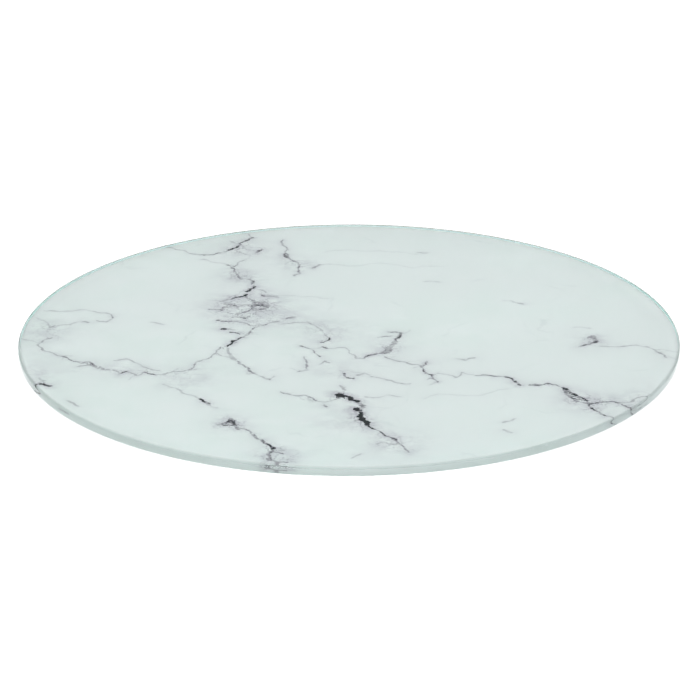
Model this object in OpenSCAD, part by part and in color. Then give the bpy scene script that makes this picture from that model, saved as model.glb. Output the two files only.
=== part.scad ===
// Cake turntable: a round glass plate with a marble print under it, bonded to a
// low swivel base. The base is two nested plastic dishes with a thrust ball race
// between them, held together by a headed pin through the middle.
//
// Millimetres. +Z is up, the turning axis is Z, and z = 0 is the table.

/* [Plate] */
// Diameter of the glass plate
plate_d = 300; // [280:5:340]
// Thickness of the glass plate
glass_t = 4; // [4:1:6]
// Radius of the polished rounding along both rims of the glass
edge_round = 1; // [0.4:0.1:1.6]
// Thickness of the printed film under the glass
print_t = 0.2; // [0.1:0.05:0.4]
// Thickness of the foam tape that bonds the plate to the carrier
tape_t = 1.2; // [0.8:0.2:2]

/* [Base] */
// Diameter of the lower shell
base_d = 160; // [158:2:170]
// Wall thickness of both plastic dishes
wall = 2; // [1.6:0.2:2.4]
// Height of the rubber feet under the shell
foot_h = 3; // [2:0.5:4]
// Diameter of one rubber foot
foot_d = 14; // [12:1:15]
// Number of rubber feet
foot_count = 6; // [3:3:6]

/* [Bearing] */
// Diameter of one ball
ball_d = 6; // [5.5:0.25:6.5]
// Number of balls
ball_count = 12; // [9:3:15]
// Diameter of the circle that the ball centres run on
race_pitch_d = 110; // [108:1:112]
// Thickness of the pressed steel races
race_t = 1; // [0.8:0.1:1.2]

/* [Pivot] */
// Diameter of the pivot pin
pin_d = 8; // [7:0.5:9]
// Radial running clearance of the bush on the pin
pin_play = 0.05; // [0.02:0.01:0.1]

/* [Hidden] */
$fn = 96;
eps = 0.5; // how far a cutter runs past the face it cuts
press_gap = 0.02; // radial gap of a part pushed into its seat
ball_play = 0.02; // gap between a ball and each race

plate_r = plate_d / 2;
print_r = plate_r - edge_round;
base_r = base_d / 2;
ball_r = ball_d / 2;
pitch_r = race_pitch_d / 2;
pin_r = pin_d / 2;
foot_r = foot_d / 2;

// Races: flat rings with a pressed groove, and three ears for screws.
race_w = 20; // radial width of the flat ring
race_in = pitch_r - race_w / 2;
race_out = pitch_r + race_w / 2;
groove_r = ball_r + 0.3;
groove_depth = 1.2;
ear_count = 3;
ear_r = 4.2;
ear_at = race_out + 4;
ear_hole_r = 1.7;

// Screws: small pan-head screws that cut their own thread in plastic.
screw_head_r = 2.6;
screw_head_h = 1.4;
screw_core_r = 1.1;
screw_thread_r = 1.45;
screw_pitch = 0.8;
screw_len = 5;
pilot_r = 1.5;
pilot_spare = 0.2; // depth of the pilot hole past the screw's tip
recess_w = 0.8; // slot width of the cross recess
recess_l = 2.9;
recess_depth = 0.8;

// Levels, from the table upwards.
floor_t = 2.4;
rib_h = 2.9; // height of the ribs that carry each race
base_z = foot_h;
floor_z = base_z + floor_t;
seat_z = floor_z + rib_h;
lower_flat_z = seat_z + race_t;
ball_z = lower_flat_z - groove_depth + ball_play + ball_r;
upper_flat_z = 2 * ball_z - lower_flat_z;
carrier_seat_z = upper_flat_z + race_t;
carrier_under_z = carrier_seat_z + rib_h;
carrier_t = 2.6;
carrier_z = carrier_under_z + carrier_t;
print_z = carrier_z + tape_t;
glass_z = print_z + print_t;
top_z = glass_z + glass_t;

// Lower shell.
base_edge_r = 3; // rounding of its lower outer edge
base_wall_top = ball_z + 1.9;
rib_t = 3; // radial thickness of the ribs under a race
web_t = 1.6; // thickness of the radial webs
web_drop = 0.4; // how far the webs stay below the ribs that carry the race
boss_drop = 0.1; // and the screw bosses
web_count = 6;
mid_ring_r = 29;
mid_ring_t = 2;
boss_r = 13;
boss_top = seat_z + 1.3;
under_recess_in = 20;
under_recess_out = 60;
under_recess_depth = 0.6;
screw_boss_r = 4.2;

// Feet: pushed into a pocket in the shell, with a barbed stem through its floor.
foot_at = base_r - 11.5;
foot_pocket_depth = 1;
foot_pocket_gap = 0.2;
foot_edge_r = 0.8;
foot_stem_r = 1.9;
foot_hole_r = 2;
foot_barb_r = 2.7;
foot_barb_h = 1.7;
foot_tread = [[2, 3], [4, 5]]; // inner and outer radius of each groove in the sole
foot_tread_depth = 0.4;

// Carrier: the upper dish, whose skirt hangs over the shell's wall.
skirt_gap = 2;
skirt_in = base_r + skirt_gap;
carrier_r = skirt_in + wall;
carrier_edge_r = 1.5;
skirt_bottom = ball_z - 1.6;
hub_r = 13.5;
hub_bottom = boss_top + 0.6;

// Ball cage.
cage_in = pitch_r - 5;
cage_out = pitch_r + 5;
cage_ring_t = 1.4;
cage_collar_r = ball_r + 1.6;
cage_collar_t = 2.4;
cage_pocket_r = ball_r + 0.15;

// Pivot: headed pin, flanged bush, thrust washer and spring clip.
pin_head_r = 9;
pin_head_h = 2.8;
pin_head_gap = 0.5; // gap around the head in its counterbore
pin_seat_z = base_z + pin_head_h + 0.4;
pin_dome_h = 0.6;
pin_mark_r = 1.2; // lathe centre in the head
bush_r = 6.5;
bush_flange_r = 9;
bush_flange_t = 1;
hub_recess_r = 11;
hub_recess_z = carrier_under_z - 1.3;
washer_t = 1;
washer_z = hub_recess_z + 0.05;
clip_t = 0.8;
clip_r = 7;
clip_z = washer_z + washer_t + 0.07;
clip_groove_h = 0.9;
clip_groove_r = pin_r - 0.7;
clip_mouth_w = 5;
pin_top = carrier_z - 0.7;

// Foam tape: one ring near the carrier's rim and one round the hub.
tape_outer_in = 62;
tape_outer_out = base_r;
tape_inner_in = 18;
tape_inner_out = 34;

// ---- shared shapes ----

// Flat ring between two radii
module ring(r_in, r_out, h) {
    difference() {
        cylinder(r = r_out, h = h);
        translate([0, 0, -eps]) cylinder(r = r_in, h = h + 2 * eps);
    }
}

// Copies of the children round the Z axis
module around(count, first = 0) {
    for (i = [0:count - 1]) rotate([0, 0, first + i * 360 / count]) children();
}

// Webs that run outwards from the middle
module webs(r_in, r_out, h, count, first = 0) {
    around(count, first) translate([r_in, -web_t / 2, 0]) cube([r_out - r_in, web_t, h]);
}

// Ribs, rings and webs that stiffen both dishes and carry the races
module race_bed(hub) {
    ring(race_in, race_in + rib_t, rib_h);
    ring(race_out - rib_t, race_out, rib_h);
    ring(mid_ring_r - mid_ring_t / 2, mid_ring_r + mid_ring_t / 2, rib_h - 2 * web_drop);
    webs(hub - 1, race_in + 1, rib_h - web_drop, web_count);
    around(ear_count, 30) translate([ear_at, 0, 0])
        cylinder(r = screw_boss_r, h = rib_h - boss_drop);
}

// Half section of a race, groove side up, with the flat ring's top face at height 0
module race_section() {
    centre_h = groove_r - groove_depth;
    difference() {
        union() {
            translate([race_in, -race_t]) square([race_w, race_t]);
            intersection() {
                translate([pitch_r, centre_h]) circle(r = groove_r + race_t);
                translate([pitch_r - 2 * ball_r, -2 * ball_r]) square([4 * ball_r, 2 * ball_r]);
            }
        }
        translate([pitch_r, centre_h]) circle(r = groove_r);
    }
}

// Pressed steel race with three drilled ears, groove side up
module race() {
    difference() {
        union() {
            rotate_extrude() race_section();
            around(ear_count, 30) translate([0, 0, -race_t]) {
                translate([ear_at, 0, 0]) cylinder(r = ear_r, h = race_t);
                translate([race_out - 1, -ear_r, 0]) cube([ear_at - race_out + 1, 2 * ear_r, race_t]);
            }
        }
        around(ear_count, 30) translate([ear_at, 0, -race_t - eps])
            cylinder(r = ear_hole_r, h = race_t + 2 * eps);
    }
}

// Half section of a screw, head up, with the underside of the head at height 0
module screw_section() {
    edge = 0.5;
    turns = floor((screw_len - 1) / screw_pitch);
    square([screw_head_r, screw_head_h - edge]);
    translate([0, screw_head_h - edge]) square([screw_head_r - edge, edge]);
    intersection() {
        translate([screw_head_r - edge, screw_head_h - edge]) circle(r = edge);
        square([screw_head_r, screw_head_h]);
    }
    translate([0, -screw_len + 0.6]) square([screw_core_r, screw_len]);
    polygon([[0, -screw_len], [0.3, -screw_len], [screw_core_r, 0.6 - screw_len], [0, 0.6 - screw_len]]);
    for (i = [0:turns - 1]) {
        z = -0.9 - i * screw_pitch;
        polygon([[0, z], [screw_core_r, z], [screw_thread_r, z - screw_pitch / 3],
                 [screw_core_r, z - 2 * screw_pitch / 3], [0, z - 2 * screw_pitch / 3]]);
    }
}

// Screw with a cross recess in its head
module screw() {
    difference() {
        rotate_extrude($fn = 48) screw_section();
        for (a = [45, 135])
            rotate([0, 0, a]) translate([-recess_l / 2, -recess_w / 2, screw_head_h - recess_depth])
                cube([recess_l, recess_w, recess_depth + eps]);
    }
}

// Half section of a dish: a floor at the bottom and a wall round it
module dish_section(r, h, floor_h, wall_t, edge_r, lip_r) {
    difference() {
        union() {
            square([r - edge_r, h - lip_r]);
            translate([0, edge_r]) square([r, h - lip_r - edge_r]);
            translate([r - edge_r, edge_r]) circle(r = edge_r);
            translate([r - lip_r, h - lip_r]) circle(r = lip_r);
            translate([r - wall_t + lip_r, h - lip_r]) circle(r = lip_r);
        }
        translate([-eps, floor_h]) square([r - wall_t + eps, h]);
        translate([-1 - edge_r, -1]) square([1 + edge_r, h + 2]);
    }
    square([r - wall_t - 1, floor_h]);
}

// ---- the turning plate ----

// Half section of the glass, with both corners of its rim rounded
module glass_section() {
    square([plate_r - edge_round, glass_t]);
    translate([0, edge_round]) square([plate_r, glass_t - 2 * edge_round]);
    for (z = [edge_round, glass_t - edge_round])
        translate([plate_r - edge_round, z]) circle(r = edge_round);
}

module glass_plate() {
    color("azure", 0.6) translate([0, 0, glass_z]) rotate_extrude() glass_section();
}

module marble_print() {
    color("whitesmoke") translate([0, 0, print_z]) cylinder(r = print_r, h = print_t);
}

module outer_bond_ring() {
    color("gainsboro") translate([0, 0, carrier_z]) ring(tape_outer_in, tape_outer_out, tape_t);
}

module inner_bond_ring() {
    color("gainsboro") translate([0, 0, carrier_z]) ring(tape_inner_in, tape_inner_out, tape_t);
}

module top_carrier() {
    color("white") difference() {
        union() {
            translate([0, 0, carrier_z]) mirror([0, 0, 1]) {
                rotate_extrude()
                    dish_section(carrier_r, carrier_z - skirt_bottom, carrier_t, wall,
                                 carrier_edge_r, wall / 2);
                translate([0, 0, carrier_t]) race_bed(hub_r);
            }
            translate([0, 0, hub_bottom]) cylinder(r = hub_r, h = carrier_z - hub_bottom);
        }
        translate([0, 0, hub_bottom - eps]) cylinder(r = bush_r + press_gap, h = carrier_z);
        translate([0, 0, hub_recess_z - bush_flange_t])
            cylinder(r = bush_flange_r + press_gap, h = bush_flange_t + eps);
        translate([0, 0, hub_recess_z]) cylinder(r = hub_recess_r, h = carrier_z);
        around(ear_count, 30) translate([ear_at, 0, carrier_seat_z - eps])
            cylinder(r = pilot_r, h = eps + screw_len - race_t + pilot_spare);
    }
}

module upper_race() {
    color("silver") translate([0, 0, upper_flat_z]) mirror([0, 0, 1]) race();
}

module upper_race_screws() {
    color("darkgray") around(ear_count, 30) translate([ear_at, 0, upper_flat_z])
        mirror([0, 0, 1]) screw();
}

module pivot_bush() {
    color("ivory") difference() {
        union() {
            translate([0, 0, hub_bottom]) cylinder(r = bush_r, h = hub_recess_z - hub_bottom);
            translate([0, 0, hub_recess_z - bush_flange_t]) cylinder(r = bush_flange_r, h = bush_flange_t);
        }
        translate([0, 0, hub_bottom - eps]) cylinder(r = pin_r + pin_play, h = carrier_z);
    }
}

// ---- the ball cage and its balls ----

module ball_cage() {
    color("ivory") difference() {
        union() {
            translate([0, 0, ball_z - cage_ring_t / 2]) ring(cage_in, cage_out, cage_ring_t);
            around(ball_count) translate([pitch_r, 0, ball_z - cage_collar_t / 2])
                cylinder(r = cage_collar_r, h = cage_collar_t);
        }
        around(ball_count) translate([pitch_r, 0, ball_z - cage_collar_t])
            cylinder(r = cage_pocket_r, h = 2 * cage_collar_t);
    }
}

module ball(i) {
    color("lightgray") rotate([0, 0, (i - 1) * 360 / ball_count])
        translate([pitch_r, 0, ball_z]) sphere(r = ball_r);
}

// ---- the standing base ----

module lower_race() {
    color("silver") translate([0, 0, lower_flat_z]) race();
}

module lower_race_screws() {
    color("darkgray") around(ear_count, 30) translate([ear_at, 0, lower_flat_z]) screw();
}

module base_shell() {
    color("white") difference() {
        union() {
            translate([0, 0, base_z]) rotate_extrude()
                dish_section(base_r, base_wall_top - base_z, floor_t, wall, base_edge_r, wall / 2);
            translate([0, 0, floor_z]) {
                race_bed(boss_r);
                webs(race_out - 1, base_r - wall / 2, rib_h - web_drop, ear_count, 90);
            }
            translate([0, 0, base_z]) cylinder(r = boss_r, h = boss_top - base_z);
        }
        translate([0, 0, base_z - eps]) {
            cylinder(r = pin_r + press_gap, h = boss_top);
            cylinder(r = pin_head_r + pin_head_gap, h = pin_seat_z - base_z + eps);
            ring(under_recess_in, under_recess_out, under_recess_depth + eps);
        }
        around(foot_count) translate([foot_at, 0, base_z - eps]) {
            cylinder(r = foot_r + foot_pocket_gap, h = foot_pocket_depth + eps);
            cylinder(r = foot_hole_r, h = floor_t + 2 * eps);
        }
        around(ear_count, 30) translate([ear_at, 0, lower_flat_z - screw_len - pilot_spare])
            cylinder(r = pilot_r, h = screw_len);
    }
}

module pivot_pin() {
    color("silver") difference() {
        rotate_extrude() {
            square([pin_r, pin_top - 1]);
            polygon([[0, pin_top - 1], [pin_r, pin_top - 1], [pin_r - 0.6, pin_top], [0, pin_top]]);
            polygon([[0, pin_seat_z - pin_head_h],
                     [pin_head_r - 2, pin_seat_z - pin_head_h],
                     [pin_head_r, pin_seat_z - pin_head_h + pin_dome_h],
                     [pin_head_r, pin_seat_z], [0, pin_seat_z]]);
        }
        cylinder(r = 2 * pin_head_r, h = pin_seat_z - pin_head_h);
        translate([0, 0, pin_seat_z - pin_head_h - 0.01]) cylinder(r1 = pin_mark_r, r2 = 0, h = pin_mark_r);
        translate([0, 0, clip_z - 0.05]) ring(clip_groove_r, pin_r + eps, clip_groove_h);
    }
}

module thrust_washer() {
    color("silver") translate([0, 0, washer_z]) ring(pin_r + 0.1, pin_head_r, washer_t);
}

module spring_clip() {
    color("dimgray") translate([0, 0, clip_z]) linear_extrude(clip_t) difference() {
        circle(r = clip_r);
        circle(r = clip_groove_r + 0.05);
        translate([0, -clip_mouth_w / 2]) square([clip_r + eps, clip_mouth_w]);
        for (a = [120, 240]) rotate(a) translate([clip_groove_r + 1.4, 0]) circle(r = 1.3);
    }
}

// Half section of one foot, with its sole at height 0
module foot_section() {
    pocket_z = base_z + foot_pocket_depth;
    difference() {
        union() {
            translate([0, foot_edge_r]) square([foot_r, pocket_z - foot_edge_r]);
            square([foot_r - foot_edge_r, pocket_z]);
            translate([foot_r - foot_edge_r, foot_edge_r]) circle(r = foot_edge_r);
            square([foot_stem_r, floor_z + foot_barb_h]);
            polygon([[0, floor_z + 0.05], [foot_barb_r, floor_z + 0.05],
                     [foot_stem_r - 0.5, floor_z + foot_barb_h + 0.1],
                     [0, floor_z + foot_barb_h + 0.1]]);
        }
        for (g = foot_tread) translate([g[0], -eps]) square([g[1] - g[0], eps + foot_tread_depth]);
        translate([-2 * foot_r, -eps]) square([2 * foot_r, top_z]);
    }
}

module foot(i) {
    color("gray") rotate([0, 0, (i - 1) * 360 / foot_count])
        translate([foot_at, 0, 0]) rotate_extrude($fn = 64) foot_section();
}

glass_plate();
marble_print();
outer_bond_ring();
inner_bond_ring();
top_carrier();
upper_race();
upper_race_screws();
pivot_bush();
ball_cage();
lower_race();
lower_race_screws();
base_shell();
pivot_pin();
thrust_washer();
spring_clip();
for (i = [1:ball_count]) ball(i);
for (i = [1:foot_count]) foot(i);
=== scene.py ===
"""Cake turntable: a round glass plate with a marble print under it, on a low swivel base.

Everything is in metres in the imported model's frame: +Z up on the turning axis, z = 0 on the table.
"""

import math

import bmesh
import bpy
import numpy as np
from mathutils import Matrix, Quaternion, Vector


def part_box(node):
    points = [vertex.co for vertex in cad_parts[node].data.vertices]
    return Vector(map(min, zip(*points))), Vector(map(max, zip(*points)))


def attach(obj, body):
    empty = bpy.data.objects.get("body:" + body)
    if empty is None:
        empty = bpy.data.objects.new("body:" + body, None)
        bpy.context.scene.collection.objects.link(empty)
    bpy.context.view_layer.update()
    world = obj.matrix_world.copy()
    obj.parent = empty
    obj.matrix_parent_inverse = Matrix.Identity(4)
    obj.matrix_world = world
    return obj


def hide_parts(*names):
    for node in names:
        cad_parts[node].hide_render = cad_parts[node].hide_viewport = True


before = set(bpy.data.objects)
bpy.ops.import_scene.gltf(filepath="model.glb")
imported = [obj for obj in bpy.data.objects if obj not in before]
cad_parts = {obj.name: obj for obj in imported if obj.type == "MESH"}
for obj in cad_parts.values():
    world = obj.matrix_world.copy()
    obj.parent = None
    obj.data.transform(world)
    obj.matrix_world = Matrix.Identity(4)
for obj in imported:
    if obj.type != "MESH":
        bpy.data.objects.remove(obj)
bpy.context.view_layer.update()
MM = 0.001

# ---- camera ----
# A long lens on a stand in front of the table, a little over twenty degrees above the plate.
# It looks slightly below the plate, and its head is a fraction of a degree out of level.
plate_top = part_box("glass_plate")[1].z
camera_angle = math.radians(21.55)
camera_roll = math.radians(-0.15)
camera_distance = 1.6
aim_right, aim_below = 0.45 * MM, 7.25 * MM
aim = Vector((aim_right, 0, plate_top - aim_below))
camera = bpy.data.cameras.new("camera")
camera.lens = 181.1
camera.sensor_width = 36
camera_object = bpy.data.objects.new("camera", camera)
camera_object.location = Vector((0, 0, plate_top)) + camera_distance * Vector(
    (0, -math.cos(camera_angle), math.sin(camera_angle)))
look = (aim - camera_object.location).to_track_quat("-Z", "Y")
camera_object.rotation_euler = (look @ Quaternion((0, 0, 1), camera_roll)).to_euler()
bpy.context.scene.collection.objects.link(camera_object)
bpy.context.scene.camera = camera_object
bpy.context.scene.view_settings.view_transform = "Standard"


# ---- table and light ----
# The part stands on an acrylic light table that shines most in front of it and is clear from below.
# Over it are one broad soft box and a white tent, brightest overhead and to the front, and dim low
# down at the back, so that nothing bright is mirrored in the glass.
class Wire:
    """A node's output that takes part in sums: each operator adds the Math node for it."""

    def __init__(self, graph, socket):
        self.graph, self.socket = graph, socket

    def maths(self, operation, *others, first=False):
        values = [*others, self] if first else [self, *others]
        return self.graph.add("ShaderNodeMath", {"operation": operation}, dict(enumerate(values)))

    def __add__(self, other):
        return self.maths("ADD", other)

    def __sub__(self, other):
        return self.maths("SUBTRACT", other)

    def __rsub__(self, other):
        return self.maths("SUBTRACT", other, first=True)

    def __mul__(self, other):
        return self.maths("MULTIPLY", other)

    def __truediv__(self, other):
        return self.maths("DIVIDE", other)

    def __pow__(self, other):
        return self.maths("POWER", other)

    def __abs__(self):
        return self.maths("ABSOLUTE")

    def __gt__(self, other):
        return self.maths("GREATER_THAN", other)

    __radd__, __rmul__ = __add__, __mul__

    def least(self, other):
        return self.maths("MINIMUM", other)

    def most(self, other):
        return self.maths("MAXIMUM", other)

    def ease(self, low, high, start=0.0, end=1.0):
        """Smoothly from start at low to end at high."""
        return self.graph.add("ShaderNodeMapRange", {"interpolation_type": "SMOOTHSTEP"},
                              {"Value": self, "From Min": low, "From Max": high,
                               "To Min": start, "To Max": end}, "Result")


class Graph:
    """A node tree and the one call that adds a node to it."""

    def __init__(self, tree):
        self.tree = tree

    def add(self, kind, settings=None, inputs=None, out=0):
        node = self.tree.nodes.new(kind)
        for name, value in (settings or {}).items():
            setattr(node, name, value)
        for name, value in (inputs or {}).items():
            if isinstance(value, Wire):
                self.tree.links.new(value.socket, node.inputs[name])
            else:
                node.inputs[name].default_value = value
        return Wire(self, node.outputs[out])

    def parts(self, vector):
        """The x, y and z of a vector."""
        node = self.add("ShaderNodeSeparateXYZ", {}, {"Vector": vector}).socket.node
        return [Wire(self, socket) for socket in node.outputs]

    def mixed(self, share, one, other):
        """One colour where share is 0, the other where it is 1."""
        one, other = (c if isinstance(c, Wire) else (*c, 1) for c in (one, other))
        return self.add("ShaderNodeMix", {"data_type": "RGBA"}, {0: share, 6: one, 7: other}, 2)

    def chosen(self, row, values):
        """The value at this place in a list of numbers."""
        node = self.tree.nodes.new("GeometryNodeIndexSwitch")
        node.data_type = "FLOAT"
        while len(node.index_switch_items) < len(values):
            node.index_switch_items.new()
        self.tree.links.new(row.socket, node.inputs[0])
        for place, value in enumerate(values):
            node.inputs[place + 1].default_value = value
        return Wire(self, node.outputs[0])

    def noise(self, vector, scale, detail=3.0, rough=0.5):
        return self.add("ShaderNodeTexNoise", {},
                        {"Vector": vector, "Scale": scale, "Detail": detail, "Roughness": rough})


class Finish(Graph):
    """A material: the same graph with a Principled shader at its end."""

    def __init__(self, name, **constants):
        self.material = bpy.data.materials.new(name)
        self.material.use_nodes = True
        super().__init__(self.material.node_tree)
        self.tree.nodes.clear()
        self.shader = self.add("ShaderNodeBsdfPrincipled").socket.node
        self.end = self.tree.nodes.new("ShaderNodeOutputMaterial")
        self.tree.links.new(self.shader.outputs[0], self.end.inputs["Surface"])
        self.set(**constants)
        self.place = self.add("ShaderNodeTexCoord", out="Object")

    def set(self, **values):
        for name, value in values.items():
            socket = self.shader.inputs[name.replace("_", " ")]
            if isinstance(value, Wire):
                self.tree.links.new(value.socket, socket)
            elif isinstance(value, tuple):
                socket.default_value = (*value, 1)
            else:
                socket.default_value = value

    def bumpy(self, height, distance, strength=1.0):
        self.set(Normal=self.add("ShaderNodeBump", {}, {"Height": height, "Distance": distance,
                                                        "Strength": strength}))


def made(name, mesh, *finishes):
    """A piece with its mesh and finishes, linked to the scene at the origin."""
    piece = bpy.data.objects.new(name, mesh)
    for finish in finishes:
        mesh.materials.append(finish.material)
    bpy.context.scene.collection.objects.link(piece)
    return piece


acrylic = Finish("acrylic_table", Roughness=0.6, Emission_Strength=8.0)
cloud = acrylic.noise(acrylic.place, 3.0, 2.0)
underneath = acrylic.add("ShaderNodeNewGeometry", out="Backfacing")
clear = acrylic.add("ShaderNodeBsdfTransparent")
lit = Wire(acrylic, acrylic.shader.outputs[0])
one_way = acrylic.add("ShaderNodeMixShader", {}, {0: underneath, 1: lit, 2: clear})
acrylic.tree.links.new(one_way.socket, acrylic.end.inputs["Surface"])
front_glow = acrylic.parts(acrylic.place)[1].ease(-0.34, -0.15, 1.0, 0.1)
acrylic.set(Base_Color=acrylic.mixed(cloud, (0.30, 0.30, 0.30), (0.34, 0.34, 0.34)),
            Emission_Color=acrylic.mixed(front_glow, (0.0, 0.0, 0.0), (1.0, 1.0, 1.0)))
table_size, table_sides = 6.0, 96
sheet = bmesh.new()
bmesh.ops.create_circle(sheet, cap_ends=True, cap_tris=True, segments=table_sides, radius=table_size)
mesh = bpy.data.meshes.new("table")
sheet.to_mesh(mesh)
sheet.free()
made("table", mesh, acrylic)

world = bpy.data.worlds.new("tent")
world.use_nodes = True
bpy.context.scene.world = world
tent = Graph(world.node_tree)
tent.tree.nodes.clear()
_, back, height = tent.parts(tent.add("ShaderNodeTexCoord", out="Generated"))
low = back.ease(0.60, 0.88, 0.60, 0.12)
overhead = height.ease(0.36, 0.85, 0.0, 1.0) * back.ease(-0.65, 0.35, 2.3, 1.1)
glow = tent.add("ShaderNodeBackground", {}, {"Color": (0.995, 1.0, 1.0, 1), "Strength": low + overhead})
end = tent.tree.nodes.new("ShaderNodeOutputWorld")
tent.tree.links.new(glow.socket, end.inputs["Surface"])

box_size, box_radiance, box_height = 1.6, 1.1, 1.7
soft_box = bpy.data.lights.new("soft_box", "AREA")
soft_box.shape = "SQUARE"
soft_box.size = box_size
soft_box.energy = box_radiance * math.pi * box_size ** 2
soft_box_object = bpy.data.objects.new("soft_box", soft_box)
soft_box_object.location = (-0.15, 0.45, box_height)
soft_box_object.rotation_euler = (-soft_box_object.location).to_track_quat("-Z", "Y").to_euler()
bpy.context.scene.collection.objects.link(soft_box_object)


# ---- marble print ----
# A film printed with grey marble and laminated to the underside of the glass, white lacquer on its
# back. Its top is pressed into the glass by a hair, because there is no air between them.

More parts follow.
